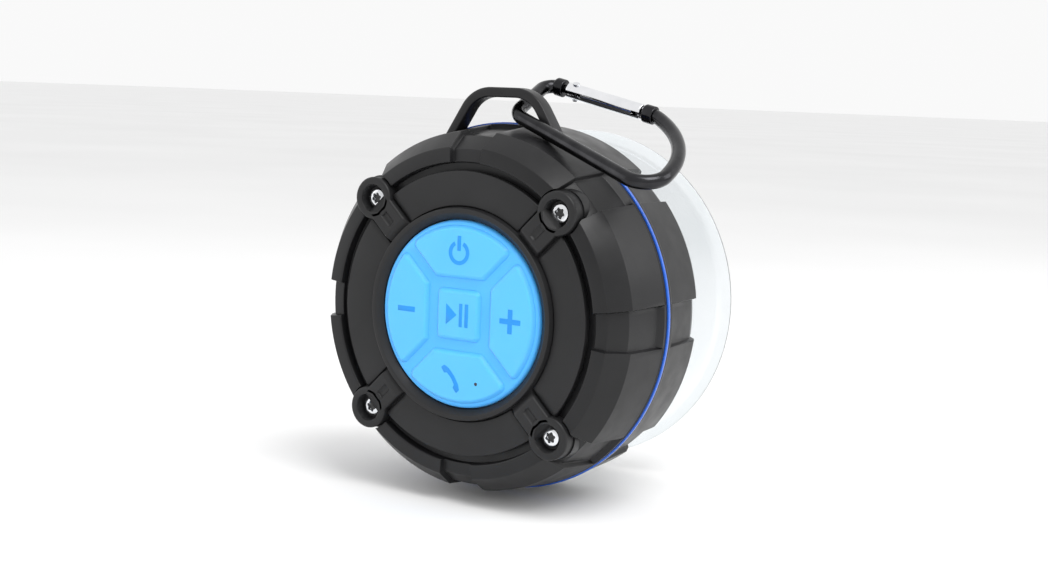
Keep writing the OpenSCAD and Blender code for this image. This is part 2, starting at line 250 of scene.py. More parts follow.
class Nodes:
    """A small wrapper that keeps node building short."""

    def __init__(self, name):
        self.material = bpy.data.materials.new(name)
        self.material.use_nodes = True
        self.tree = self.material.node_tree
        self.shader = self.tree.nodes["Principled BSDF"]
        coord = self.tree.nodes.new("ShaderNodeTexCoord")
        self.place = coord.outputs["Object"]

    def add(self, kind, **values):
        node = self.tree.nodes.new(kind)
        for key, value in values.items():
            setattr(node, key, value)
        return node

    def link(self, a, b):
        self.tree.links.new(a, b)

    def noise(self, scale, detail=2.0, rough=0.5):
        node = self.add("ShaderNodeTexNoise")
        self.link(self.place, node.inputs["Vector"])
        node.inputs["Scale"].default_value = scale
        node.inputs["Detail"].default_value = detail
        node.inputs["Roughness"].default_value = rough
        return node.outputs["Fac"]

    def spread(self, value, low, high):
        """value, from about 0.3 to 0.7, spread over low to high."""
        node = self.add("ShaderNodeMapRange")
        self.link(value, node.inputs["Value"])
        node.inputs["From Min"].default_value = 0.3
        node.inputs["From Max"].default_value = 0.7
        node.inputs["To Min"].default_value = low
        node.inputs["To Max"].default_value = high
        return node.outputs["Result"]

    def tint(self, value, dark, light):
        ramp = self.add("ShaderNodeValToRGB")
        self.link(value, ramp.inputs["Fac"])
        ramp.color_ramp.elements[0].position = 0.3
        ramp.color_ramp.elements[1].position = 0.7
        ramp.color_ramp.elements[0].color = (*dark, 1)
        ramp.color_ramp.elements[1].color = (*light, 1)
        self.link(ramp.outputs["Color"], self.shader.inputs["Base Color"])

    def bump(self, value, strength, distance):
        node = self.add("ShaderNodeBump")
        node.inputs["Strength"].default_value = strength
        node.inputs["Distance"].default_value = distance
        self.link(value, node.inputs["Height"])
        previous = self.shader.inputs["Normal"].links
        if previous:
            self.link(previous[0].from_socket, node.inputs["Normal"])
        self.link(node.outputs["Normal"], self.shader.inputs["Normal"])

    def set(self, **values):
        for key, value in values.items():
            self.shader.inputs[key.replace("_", " ")].default_value = value


def moulded(name, dark, light, rough=(0.34, 0.46), grain=5200, depth=0.35, **more):
    """Injection-moulded plastic or rubber: fine spark-eroded grain and faint flow marks."""
    n = Nodes(name)
    n.tint(n.noise(60, 4), dark, light)
    n.link(n.spread(n.noise(220, 5), *rough), n.shader.inputs["Roughness"])
    n.bump(n.noise(grain, 2), depth, 0.00002)
    n.bump(n.noise(140, 2), 0.08, 0.0002)
    n.set(**more)
    return n.material


def key_silicone(name):
    """Blue silicone with random mottle, and painted shade: the tint gets darker down in the valleys
    between the keys.
    """
    valley, key_top = -0.0558, -0.0569  # Y in the row frame, in metres
    n = Nodes(name)
    split = n.add("ShaderNodeSeparateXYZ")
    n.link(n.place, split.inputs["Vector"])
    # painted shade: each point's height sets its tint, darker towards the valley floor where the keys
    # shade it
    height = n.add("ShaderNodeMapRange")
    n.link(split.outputs["Y"], height.inputs["Value"])
    height.inputs["From Min"].default_value = valley
    height.inputs["From Max"].default_value = key_top
    height.inputs["To Min"].default_value = 0.32
    height.inputs["To Max"].default_value = 0.55
    mottle_and_valley_shade = n.add("ShaderNodeMath", operation="MULTIPLY_ADD")
    n.link(n.noise(90, 3), mottle_and_valley_shade.inputs[0])
    mottle_and_valley_shade.inputs[1].default_value = 0.2
    n.link(height.outputs["Result"], mottle_and_valley_shade.inputs[2])
    n.tint(mottle_and_valley_shade.outputs[0], (0.05, 0.41, 0.97), (0.088, 0.5, 1.0))
    n.link(n.spread(n.noise(220, 5), 0.42, 0.54), n.shader.inputs["Roughness"])
    n.bump(n.noise(3800, 2), 0.2, 0.00002)
    n.set(Subsurface_Weight=0.12, Subsurface_Scale=0.002, Sheen_Weight=0.15)
    return n.material


def metal(name, dark, light, rough=(0.12, 0.24), grain=2600, depth=0.06, **more):
    """Plated or turned metal with fine random scratches."""
    n = Nodes(name)
    n.tint(n.noise(300, 4), dark, light)
    n.link(n.spread(n.noise(900, 4), *rough), n.shader.inputs["Roughness"])
    n.bump(n.noise(grain, 3), depth, 0.00001)
    n.set(Metallic=1.0, **more)
    return n.material


def woven(name, dark, light, pitch=0.0006, **more):
    """Cloth with a square weave."""
    waves_per_scale = 0.31
    n = Nodes(name)
    waves = []
    for direction in ("X", "Z"):
        wave = n.add("ShaderNodeTexWave", bands_direction=direction)
        n.link(n.place, wave.inputs["Vector"])
        wave.inputs["Scale"].default_value = waves_per_scale / pitch
        wave.inputs["Distortion"].default_value = 0.4
        waves.append(wave.outputs["Fac"])
    both = n.add("ShaderNodeMath", operation="MULTIPLY")
    n.link(waves[0], both.inputs[0])
    n.link(waves[1], both.inputs[1])
    n.tint(both.outputs[0], dark, light)
    n.bump(both.outputs[0], 0.6, 0.0001)
    n.set(Roughness=0.85, **more)
    return n.material


def clear_vinyl(name):
    """Clear soft vinyl, faintly uneven."""
    n = Nodes(name)
    n.tint(n.noise(40, 3), (0.86, 0.9, 0.92), (0.93, 0.96, 0.98))
    n.link(n.spread(n.noise(180, 4), 0.06, 0.16), n.shader.inputs["Roughness"])
    n.bump(n.noise(90, 3), 0.1, 0.0002)
    n.set(Transmission_Weight=0.94, IOR=1.38)
    return n.material


def circuit(name):
    """Solder mask over faint copper tracks."""
    n = Nodes(name)
    brick = n.add("ShaderNodeTexBrick")
    n.link(n.place, brick.inputs["Vector"])
    brick.inputs["Scale"].default_value = 420
    brick.inputs["Color1"].default_value = (0.02, 0.16, 0.07, 1)
    brick.inputs["Color2"].default_value = (0.02, 0.2, 0.09, 1)
    brick.inputs["Mortar"].default_value = (0.1, 0.34, 0.16, 1)
    n.link(brick.outputs["Color"], n.shader.inputs["Base Color"])
    n.link(n.spread(n.noise(500, 3), 0.25, 0.4), n.shader.inputs["Roughness"])
    n.bump(brick.outputs["Fac"], 0.2, 0.00003)
    return n.material


BLACK = moulded("black_plastic", (0.007, 0.007, 0.0075), (0.011, 0.011, 0.012),
                rough=(0.3, 0.42), Specular_IOR_Level=0.3)
FACE_BLACK = moulded("face_plastic", (0.011, 0.011, 0.0115), (0.015, 0.015, 0.016),
                     rough=(0.4, 0.5), Specular_IOR_Level=0.3)
RUBBER = moulded("dark_rubber", (0.01, 0.01, 0.011), (0.018, 0.018, 0.019), rough=(0.6, 0.75),
                 Specular_IOR_Level=0.3)
SILICONE = key_silicone("blue_silicone")
SYMBOL = moulded("symbol_blue", (0.004, 0.25, 0.74), (0.006, 0.28, 0.78), rough=(0.45, 0.55),
                 grain=3800, depth=0.15)
BLUE_GLOSS = moulded("blue_ring", (0.006, 0.09, 0.52), (0.008, 0.12, 0.62), rough=(0.16, 0.26),
                     grain=2500, depth=0.06, Coat_Weight=0.4)
GREY = moulded("grey_plastic", (0.12, 0.12, 0.13), (0.17, 0.17, 0.18))
COMPONENT = moulded("component_black", (0.02, 0.02, 0.02), (0.035, 0.035, 0.035), rough=(0.4, 0.6))
FOAM = moulded("foam", (0.6, 0.6, 0.5), (0.8, 0.8, 0.7), rough=(0.8, 0.95), grain=1500, depth=0.9)
RED_WIRE = moulded("red_wire", (0.45, 0.02, 0.02), (0.6, 0.04, 0.03))
RIBBON = moulded("ribbon", (0.7, 0.7, 0.62), (0.85, 0.85, 0.8))
FERRITE = moulded("ferrite", (0.03, 0.03, 0.032), (0.06, 0.06, 0.065), rough=(0.55, 0.7),
                  grain=2600)
COATED = moulded("coated_steel", (0.05, 0.05, 0.055), (0.08, 0.08, 0.085), rough=(0.3, 0.45))
PAPER = moulded("cone_paper", (0.03, 0.03, 0.032), (0.06, 0.06, 0.062), rough=(0.8, 0.95),
                grain=1200, depth=0.7)
STEEL = metal("plated_steel", (0.66, 0.67, 0.69), (0.84, 0.85, 0.87))
CHROME = metal("gate_chrome", (0.8, 0.81, 0.83), (0.9, 0.9, 0.92), rough=(0.06, 0.14), depth=0.03)
BRASS = metal("turned_brass", (0.62, 0.44, 0.17), (0.78, 0.58, 0.26))
COPPER = metal("copper_winding", (0.6, 0.26, 0.1), (0.78, 0.4, 0.2), rough=(0.25, 0.4),
               grain=5000, depth=0.5)
CELL = metal("cell_wrap", (0.5, 0.54, 0.6), (0.62, 0.66, 0.72), rough=(0.3, 0.5), grain=700,
             depth=0.4)
ANODISED = metal("black_anodised", (0.028, 0.028, 0.03), (0.045, 0.045, 0.048),
                 rough=(0.16, 0.27))
SCREEN = woven("acoustic_screen", (0.008, 0.008, 0.008), (0.05, 0.05, 0.052))
SPIDER = woven("spider_cloth", (0.35, 0.25, 0.1), (0.6, 0.45, 0.22))
VINYL = clear_vinyl("clear_vinyl")
BOARD = circuit("circuit_board")

SLOT_LOOKS = {
    "housing_plastic": BLACK, "cover_plastic": FACE_BLACK, "blue_trim": BLUE_GLOSS,
    "blue_silicone": SILICONE, "dark_rubber": RUBBER, "steel": STEEL, "brass": BRASS,
    "grey_plastic": GREY, "circuit_board": BOARD, "black_component": COMPONENT,
    "battery_wrap": CELL, "foam": FOAM, "red_wire": RED_WIRE, "ribbon": RIBBON,
    "screen_fabric": SCREEN, "coated_steel": COATED, "ferrite": FERRITE, "cone_paper": PAPER,
    "copper_coil": COPPER, "spider_cloth": SPIDER, "clear_vinyl": VINYL,
    "stud_plastic": BLACK, "black_anodised": ANODISED, "gate_chrome": CHROME,
}

for part in frame["record"]["subparts"]:
    cad_mesh = frame["nodes"][part["node"]].data
    cad_mesh.materials.clear()
    cad_mesh.materials.append(SLOT_LOOKS[part["material_slot"]])


# ---- camera, floor and light ---------------------------------------------------


def make_camera():
    data = bpy.data.cameras.new("camera")
    data.lens = 50.85
    data.sensor_width = 36
    data.clip_start = 0.01
    camera = add_object("camera", data)
    place = (0.1840, -0.3280, 0.0488)
    azimuth, elevation, roll = math.radians(31.6), math.radians(7.22), math.radians(2.18)
    towards = Vector((math.sin(azimuth) * math.cos(elevation),
                      -math.cos(azimuth) * math.cos(elevation), math.sin(elevation)))
    turn = towards.to_track_quat("Z", "Y").to_matrix() @ Matrix.Rotation(roll, 3, "Z")
    camera.matrix_world = Matrix.Translation(place) @ turn.to_4x4()
    bpy.context.scene.camera = camera


def make_floor():
    mesh = bpy.data.meshes.new("floor")
    reach, drop = 30.0, 0.001
    level = cad_box[0].z - drop
    mesh.from_pydata([(x, y, level) for x, y in rectangle(-reach, -reach, reach, reach)],
                     [], [(0, 1, 2, 3)])
    floor = add_object("floor", mesh)
    n = Nodes("floor_paper")
    n.tint(n.noise(3, 3), (0.86, 0.86, 0.86), (0.9, 0.9, 0.9))
    n.set(Roughness=0.8)
    mesh.materials.append(n.material)


def area_light(name, place, target, width, height, power):
    data = bpy.data.lights.new(name, "AREA")
    data.shape = "RECTANGLE"
    data.size, data.size_y, data.energy = width, height, power
    light = add_object(name, data)
    light.location = place
    light.rotation_euler = (Vector(target) - Vector(place)).to_track_quat("-Z", "Y").to_euler()


def make_light():
    world = bpy.data.worlds.new("studio")
    world.use_nodes = True
    world.node_tree.nodes["Background"].inputs["Color"].default_value = (1, 1, 1, 1)
    world.node_tree.nodes["Background"].inputs["Strength"].default_value = 0.95
    bpy.context.scene.world = world
    bpy.context.scene.view_settings.view_transform = "Standard"
    centre = (0.0, -0.03, 0.0)
    area_light("key", (0.32, -0.2, 0.52), centre, 0.35, 0.35, 2.4)
    area_light("left", (-0.55, -0.45, 0.2), centre, 0.35, 0.5, 0.5)
    area_light("back_right", (0.5, 0.25, 0.35), centre, 0.3, 0.4, 1)


make_camera()
make_floor()
make_light()


# ---- front shell ---------------------------------------------------------------

# Outlines of the shell as (radius, height), through a bumper plate and through
# a bare recess. Both have the same number of corners, so one can turn into the other.
FRONT_PLATE = fillet([(30, 51.6, 0.1), (30, 53.6, 0.1), (GROOVE_OUTER, 53.6, 0.2), (34.1, 56, 0.45),
                      (37.4, 55.7, 0.5), (41, 50.7, 0.45), (42.48, 38.4, 0.1), (42.6, 38.2, 0.1),
                      (42.6, SEAM, 0.12), (39.8, SEAM, 0.1), (38.6, 49, 0.5), (36, 51.6, 0.5)], 0.3)
FRONT_RECESS = fillet([(30, 51.6, 0.1), (30, 53.6, 0.1), (GROOVE_OUTER, 53.6, 0.2), (34.1, 54.75, 0.3),
                       (36.9, 54.4, 0.5), (39.9, 50.3, 0.5), (41.3, 39.9, 0.3), (42.6, 38.9, 0.2),
                       (42.6, SEAM, 0.12), (39.8, SEAM, 0.1), (38.6, 49, 0.5), (36, 51.6, 0.5)], 0.3)
REAR_PLATE = fillet([(20.4, 21.9, 0.1), (20.4, 19.5, 0.1), (39, 19.55, 0.3), (40.4, 19.9, 0.5),
                     (41.8, 20.9, 0.7), (42.5, 22.6, 0.5), (42.8, 35.6, 0.1), (42.9, 36, 0.1),
                     (42.9, 36.6, 0.1), (39.2, 36.6, 0.1), (38.2, 35, 0.5), (38.2, 23, 0.5),
                     (36, 21.9, 0.5)], 0.3)
REAR_RECESS = fillet([(20.4, 21.9, 0.1), (20.4, 19.5, 0.1), (38.4, 19.5, 0.3), (39.4, 19.5, 0.5),
                      (40.6, 20.6, 0.7), (41.4, 23, 0.5), (41.7, 34.8, 0.2), (42.9, 35.4, 0.2),
                      (42.9, 36.6, 0.1), (39.2, 36.6, 0.1), (38.2, 35, 0.5), (38.2, 23, 0.5),
                      (36, 21.9, 0.5)], 0.3)
SCREW_PLACES = [polar(SCREW_CIRCLE, a)[:2] for a in CORNERS]


def plate_angles():
    """(angle, share of plate) round the body, close together where a plate's edge falls."""
    pitch, soft, edge_steps, plate_steps = 45, 0.55, 8, 18
    plate = pitch - 2 * RECESS_HALF
    out = []
    for start in range(0, 360, pitch):
        for a in (-4.8, -2.4, 0, 2.4, 4.8):
            out.append((start + a, 0.0))
        for j in range(edge_steps + 1):
            a = RECESS_HALF + soft * (j / edge_steps - 0.5)
            out.append((start + a, smooth_step(j / edge_steps)))
        for j in range(1, plate_steps):
            out.append((start + RECESS_HALF + plate * j / plate_steps, 1.0))
        for j in range(edge_steps + 1):
            a = pitch - RECESS_HALF + soft * (j / edge_steps - 0.5)
            out.append((start + a, smooth_step(1 - j / edge_steps)))
    return out


def plated(plate, recess):
    """A shell whose section changes between the plate's outline and the recess's."""
    rows = []
    for angle, share in plate_angles():
        rows.append([polar(a[0] + (b[0] - a[0]) * share, angle, a[1] + (b[1] - a[1]) * share)
                     for a, b in zip(recess, plate)])
    return wrap(rows)


def make_front_shell():
    """The front shell, cut for the four screw bosses and for the charging port."""
    boss, bore = 5.2, 5.35
    port_x, outside, inside = -40.3, -46, -36
    body = plated(FRONT_PLATE, FRONT_RECESS)
    shell = piece("front_shell_skin", body, BLACK, "housing", "front_shell",
                  slot="housing_plastic")
    cuts = [solid_lathe([(bore, COVER_SEAT), (bore, 60)], 64, p) for p in SCREW_PLACES]
    carve(shell, join_shapes(*cuts))
    pocket = fillet(rectangle(-4.2, 38.8, 4.2, 44.8), 0.8)
    carve(shell, prism_x(pocket, outside, port_x))
    inlet = fillet(rectangle(-4, 39.9, 4, 43.1), 1.2)
    carve(shell, prism_x(inlet, port_x - 0.5, inside))
    bosses = [solid_lathe([(boss, 46), (boss, COVER_SEAT + 0.05)], 64, p) for p in SCREW_PLACES]
    piece("front_shell_bosses", join_shapes(*bosses), BLACK, "housing", slot="housing_plastic")


def make_rear_shell():
    side = plated(REAR_PLATE, REAR_RECESS)
    boss = lathe(fillet([(6, 14.05, 0.1), (8.9, 14, 0.5), (9, 19.6, 0.2), (6, 19.6, 0.1)], 0.3), 72)
    piece("rear_shell_skin", join_shapes(side, grille(), boss), BLACK, "housing", "rear_shell",
          slot="housing_plastic")


def grille():
    """The slotted disc over the loudspeaker, between the boss and the flat back."""
    rings = (8.9, 10.6, 10.9, 14, 17, 18.9, 19.2, 20.5)
    pitch, slot_half = 22.5, 0.8
    low, high = 19.5, 21.9
    last = len(rings) - 1
    shapes = []
    for k in range(int(360 / pitch)):
        middle = k * pitch + pitch / 2
        columns = []
        for r in rings:
            edge = math.degrees(math.asin(slot_half / r))
            columns.append([middle - pitch / 2, middle - edge, middle + edge, middle + pitch / 2])
        index = {}
        points, faces = [], []
        for level, z in enumerate((low, high)):
            for i, r in enumerate(rings):
                for j in range(4):
                    index[level, i, j] = len(points)
                    points.append(polar(r, columns[i][j], z))
        for i in range(last):
            open_here = 1 <= i <= last - 2
            for j in range(3):
                if open_here and j == 1:
                    continue
                for level in (0, 1):
                    faces.append((index[level, i, j], index[level, i + 1, j],
                                  index[level, i + 1, j + 1], index[level, i, j + 1]))
            if open_here:
                for j in (1, 2):
                    faces.append((index[0, i, j], index[0, i + 1, j],
                                  index[1, i + 1, j], index[1, i, j]))
        for i in (1, last - 1):
            faces.append((index[0, i, 1], index[0, i, 2], index[1, i, 2], index[1, i, 1]))
        for j in range(3):
            for i in (0, last):
                faces.append((index[0, i, j], index[0, i, j + 1],
                              index[1, i, j + 1], index[1, i, j]))
        shapes.append((points, faces))
    return join_shapes(*shapes)


make_front_shell()
make_rear_shell()


def make_trim_ring():
    ring = fillet([(39.3, 36.62), (42.95, 36.62, 0.25), (43, 37.48, 0.25), (39.3, 37.48)], 0.1)
    piece("trim_ring_skin", lathe(ring, 240), BLUE_GLOSS, "housing", "trim_ring", slot="blue_trim")


make_trim_ring()


# ---- front cover ---------------------------------------------------------------


def cover_tile(centre):
    """One of the four face plates between the arms, its ends parallel to them."""
    gap, low, shoulder, ease = 3.9, 54.6, 55, 0.3
    section = fillet([(24.35, low, 0.1), (24.35, FACE - 0.1, 0.25), (PLATE_OUTER, FACE, 0.4),
                      (PLATE_OUTER, low, 0.1)], 0.2)
    insets = (0.0, 0.12, ease)
    last = 34
    rows = []
    for k in range(last + 1):
        inset = insets[min(k, last - k, 2)]
        lower = ease * (1 - inset / ease) ** 2
        row = []
        for r, z in section:
            edge = math.degrees(math.asin((gap + inset) / r))
            if k < 3:
                angle = edge
            elif k > last - 3:
                angle = 90 - edge
            else:
                angle = edge + (90 - 2 * edge) * (k - 2) / (last - 4)
            row.append(polar(r, centre - 45 + angle, z - (lower if z > shoulder else 0)))
        rows.append(row)
    return capped(rows)


def cover_arm():
    """An arm along +x from the lip to the edge of the lug's counterbore, with its groove."""
    half, start, bore, base = 3.35, 23.7, 3.7, 54
    edge_width, edge_drop = 0.45, 0.32
    ramp_length, ramp_drop = 2.3, 1.25
    groove_half, groove_start, groove_end, groove_depth = 0.55, 26.5, 30.6, 0.5
    side_soft, end_soft = 0.3, 0.4
    steps = 54
    across_steps = [half * math.sin(math.pi / 2 * k / 16) for k in range(-16, 17)]
    rows = []
    for i in range(steps + 1):
        row = []
        for k, v in enumerate([-half] + across_steps + [half]):
            end = SCREW_CIRCLE - math.sqrt(bore ** 2 - v ** 2)
            u = start + (end - start) * i / steps
            edge = max(abs(v) - (half - edge_width), 0) / edge_width
            z = COVER_TOP - edge_drop * edge ** 2
            z -= ramp_drop * (1 - smooth_step((u - start) / ramp_length))
            across = 1 - smooth_step((abs(v) - groove_half) / side_soft)
            along = smooth_step((u - groove_start) / end_soft)
            along *= smooth_step((groove_end - u) / end_soft)
            z -= groove_depth * across * along
            row.append((u, v, base if k in (0, len(across_steps) + 1) else z))
        rows.append(row)
    return capped(rows)


LUG = [(LUG_RADIUS, COVER_SEAT + 0.06, 0.1), (LUG_RADIUS, COVER_TOP, 0.7), (3.15, COVER_TOP, 0.35),
       (2.75, 54.35, 0.2), (1.5, 54.35, 0.1), (1.5, COVER_SEAT + 0.06, 0.1)]


def make_front_cover():
    ring = fillet([(21.5, 52.85, 0.1), (21.45, 55.6, 0.3), (22.9, COVER_TOP, 0.5),
                   (23.9, COVER_TOP, 0.3), (24.3, 54.9, 0.2), (PLATE_OUTER - 0.15, 54.9, 0.1),
                   (PLATE_OUTER - 0.15, 53.65, 0.1), (24.4, 53.65, 0.1), (24.4, 52.85, 0.1)], 0.2)
    shapes = [lathe(ring, 180)]
    shapes += [cover_tile(a) for a in QUARTERS]
    shapes += [turned(cover_arm(), a) for a in CORNERS]
    shapes += [lathe(fillet(LUG, 0.2), 64, p) for p in SCREW_PLACES]
    piece("front_cover_skin", join_shapes(*shapes), FACE_BLACK, "housing", "front_cover",
          slot="cover_plastic")


def screw_head(centre):
    """A pan head with a six-lobe recess, its shank below."""
    lobes, lobe_radius, lobe_wave = 6, 1.15, 0.16
    angles = round_angles(60)
    outside = [(1.3, 46), (1.3, 54.3), (2.1, 54.3), (2.1, 55.05), (2.0, 55.3), (1.75, 55.42),
               (1.42, 55.45)]
    rows = [[on_circle(centre, r, a, z) for a in angles] for r, z in outside]
    for z, shrink in ((55.44, 1.0), (55.3, 0.93), (54.6, 0.9)):
        rows.append([on_circle(centre, shrink * (lobe_radius + lobe_wave * math.cos(lobes * a)), a, z)
                     for a in angles])
    return capped(rows)


def make_case_screws():
    shapes = [turned(screw_head((SCREW_CIRCLE, 0)), a) for a in CORNERS]
    piece("case_screw_heads", join_shapes(*shapes), STEEL, "housing", "case_screws", slot="steel")
    # painted shade: a thin black disc down in each screw head's recess stands for the shade inside it
    socket = fillet([(0.02, 54.62, 0.01), (1.0, 54.62, 0.1), (1.0, 54.8, 0.1), (0.3, 54.85, 0.1),
                     (0.02, 54.75, 0.01)], 0.05)
    recess_shade_discs = [lathe(socket, 36, p) for p in SCREW_PLACES]
    piece("case_screw_recess_shade", join_shapes(*recess_shade_discs), COMPONENT, "housing", slot="black_component")


make_front_cover()
make_case_screws()


# ---- key pad -------------------------------------------------------------------

CORNER_STEPS, ARC_STEPS = 8, 40
KEY_TOP = 57.0
VALLEY = 56.15
KEY_BACK = 52.8
SYMBOL_LOW = KEY_TOP - 0.2
SYMBOL_TOP = KEY_TOP + 0.04


def outline(core, grow):
    """Points round a convex core of corners and arc stretches, grown outwards.

    A core entry is (x, y, first normal, last normal, arc radius), angles in degrees."""
    out = []
    for x, y, first, last, radius in core:
        steps = ARC_STEPS if radius else CORNER_STEPS
        for k in range(steps + 1):
            a = math.radians(first + (last - first) * k / steps)
            reach = radius + grow
            out.append((x + reach * math.cos(a), y + reach * math.sin(a)))
    return out


def square_core(half):
    return [(half, -half, -90, 0, 0), (half, half, 0, 90, 0), (-half, half, 90, 180, 0),
            (-half, -half, 180, 270, 0)]


def quadrant_core():
    """The +x key: a straight inner side, two diagonal sides and a round outer side."""
    inner, diagonal, outer = 9.6, 3.68, 18.7
    # the diagonal side lies along y = x - diagonal, and meets the arc of radius outer
    meet = (diagonal + math.sqrt(2 * outer ** 2 - diagonal ** 2)) / 2
    y_meet = meet - diagonal
    spread = math.degrees(math.atan2(y_meet, meet))
    y_inner = inner - diagonal
    return [(inner, -y_inner, 180, 225, 0), (meet, -y_meet, 225, 360 - spread, 0),
            (0, 0, -spread, spread, outer), (meet, y_meet, spread, 135, 0),
            (inner, y_inner, 135, 180, 0)]


CENTRE_CORE = square_core(4.4)
QUADRANT_CORE = quadrant_core()
# (growth of the core, height under the key's top) down a key's shoulder
KEY_RINGS = [(0.3, 0), (0.45, 0.01), (0.6, 0.05), (0.78, 0.17), (0.96, 0.36), (1.12, 0.57),
             (1.26, 0.75), (1.4, 0.85), (1.4, KEY_TOP - KEY_BACK)]


def key_shape(core):
    return capped([[(x, y, KEY_TOP - drop) for x, y in outline(core, grow)]
                   for grow, drop in KEY_RINGS])


def bar(width, height, x=0.0, y=0.0):
    box = rectangle(x - width / 2, y - height / 2, x + width / 2, y + height / 2)
    return fillet(box, 0.12, 3)


def slab(points):
    """A thin raised symbol with a softened top edge."""
    soft_drop, soft_inset, least = 0.03, 0.04, 0.01
    cx = sum(p[0] for p in points) / len(points)
    cy = sum(p[1] for p in points) / len(points)
    rows = []
    for inset, z in ((0, SYMBOL_LOW), (0, SYMBOL_TOP - soft_drop), (soft_inset, SYMBOL_TOP)):
        row = []
        for x, y in points:
            away = max(math.hypot(x - cx, y - cy), least)
            row.append((x - inset * (x - cx) / away, y - inset * (y - cy) / away, z))
        rows.append(row)
    return capped(rows)


def moved(points, x, y, degrees=0):
    c, s = math.cos(math.radians(degrees)), math.sin(math.radians(degrees))
    return [(x + c * px - s * py, y + s * px + c * py) for px, py in points]


def plus_symbol():
    long, thin = 2.7, 0.58
    pts = [(long, -thin), (long, thin), (thin, thin), (thin, long), (-thin, long), (-thin, thin),
           (-long, thin), (-long, -thin), (-thin, -thin), (-thin, -long), (thin, -long),
           (thin, -thin)]
    return fillet(pts, 0.06, 2)


def power_ring():
    """The open ring of the power symbol as one outline."""
    gap, inner, outer, steps = 28, 1.85, 2.75, 36
    angles = [90 + gap + (360 - 2 * gap) * k / steps for k in range(steps + 1)]
    return [polar(outer, a)[:2] for a in angles] + [polar(inner, a)[:2] for a in reversed(angles)]


def ribbon_slab(ring):
    """A thin slab over an outline made of an outer run and the same run back inside."""
    n = len(ring) // 2
    rows = []
    for i in range(n):
        a, b = ring[i], ring[-1 - i]
        rows.append([(*a, SYMBOL_LOW), (*a, SYMBOL_TOP), (*b, SYMBOL_TOP), (*b, SYMBOL_LOW)])
    return capped(rows)


def handset():
    """A telephone handset: a bowed grip with a block at each end."""
    half = [(3.5, -1.05), (3.4, 0.05), (2.1, 0.6), (0, 0.8)]
    under = [(1.7, -0.45), (2.0, -1.15)]
    mirror = [(-x, y) for x, y in reversed(half[:-1])]
    under_mirror = [(-x, y) for x, y in reversed(under)]
    return fillet([(0, -0.15)] + under + half + mirror + under_mirror, 0.25, 3)


def make_key(name, shape, symbols, node):
    piece(name + "_skin", shape, SILICONE, node, node, slot="blue_silicone", sharp=60)
    piece(name + "_symbol", join_shapes(*symbols), SYMBOL, node, slot="blue_silicone", sharp=50)


def make_keys():
    triangle = fillet([(-3, -2.4), (-0.1, 0), (-3, 2.4)], 0.08, 2)
    play = [slab(triangle), slab(bar(0.85, 5.3, 0.95)), slab(bar(0.9, 5.3, 2.5))]
    make_key("play_key", key_shape(CENTRE_CORE), play, "key_play")
    outer = key_shape(QUADRANT_CORE)
    reach = 14.0
    plus = [prism(moved(plus_symbol(), reach, 0), SYMBOL_LOW, SYMBOL_TOP)]
    make_key("plus_key", outer, plus, "key_volume_up")
    make_key("minus_key", turned(outer, 180), [slab(bar(4.8, 1.2, -reach))], "key_volume_down")
    power = [ribbon_slab(moved(power_ring(), 0, reach)), slab(bar(0.95, 3.4, 0, reach + 2.1))]
    make_key("power_key", turned(outer, 90), power, "key_power")
    call = [slab(moved(handset(), -0.9, -reach - 0.3, -52))]
    make_key("call_key", turned(outer, 270), call, "key_call")
    # painted shade: a black disc on the key stands for the dark inside of the microphone hole
    hole = solid_lathe([(0.4, SYMBOL_LOW), (0.4, KEY_TOP + 0.01), (0.3, KEY_TOP + 0.02)], 24,
                       (5.6, -15))
    piece("microphone_hole", hole, COMPONENT, "key_call", slot="black_component")


def make_mat():
    """The pad's skin: a rounded rim and a valley floor with a hole for each key."""
    gap, same_place = 0.03, 1e-4
    steps = 160
    grown = KEY_RINGS[-1][0] + gap
    holes = [outline(CENTRE_CORE, grown)]
    for a in QUARTERS:
        ring = outline(QUADRANT_CORE, grown)
        holes.append([p[:2] for p in turned(([(x, y, 0) for x, y in ring], []), a)[0]])
    rim = [(20.35, VALLEY), (20.6, VALLEY - 0.06), (20.85, VALLEY - 0.2), (21.05, VALLEY - 0.4),
           (21.18, VALLEY - 0.65), (PAD_RADIUS, VALLEY - 0.95), (PAD_RADIUS, KEY_BACK),
           (23.3, 52.75), (23.3, 51.9), (20.35, 51.9)]
    bm = bmesh.new()

    def loop(points, z):
        made = [bm.verts.new(seat((x, y, z))) for x, y in points]
        edges = [bm.edges.new((made[i], made[(i + 1) % len(made)])) for i in range(len(made))]
        return made, edges

    def strip(a, b):
        for i in range(len(a)):
            k = (i + 1) % len(a)
            bm.faces.new((a[i], a[k], b[k], b[i]))

    circle = [polar(rim[0][0], 360 * i / steps)[:2] for i in range(steps)]
    previous, top_edges = loop(circle, rim[0][1])
    for r, z in rim[1:]:
        ring, edges = loop([polar(r, 360 * i / steps)[:2] for i in range(steps)], z)
        strip(previous, ring)
        previous = ring
    low_edges = edges
    for hole in holes:
        clean = []
        for p in hole:
            if not clean or math.dist(p, clean[-1]) > same_place:
                clean.append(p)
        if math.dist(clean[0], clean[-1]) < same_place:
            clean.pop()
        top, edges = loop(clean, VALLEY)
        low, edges_low = loop(clean, rim[-1][1])
        strip(top, low)
        top_edges += edges
        low_edges += edges_low
    bmesh.ops.triangle_fill(bm, use_beauty=True, edges=top_edges)
    bmesh.ops.triangle_fill(bm, use_beauty=True, edges=low_edges)
    bmesh.ops.recalc_face_normals(bm, faces=bm.faces)
    mesh = bpy.data.meshes.new("key_mat_skin")
    bm.to_mesh(mesh)
    bm.free()
    dress("key_mat_skin", mesh, SILICONE, "housing", "key_mat", slot="blue_silicone", sharp=50)


make_keys()
make_mat()


# ---- handle --------------------------------------------------------------------

HANDLE_TOP, HANDLE_BAND = 50.9, 2.3
BEND, BEND_X, LEAN, LEG = 9.0, 3.4, 58, 9.8


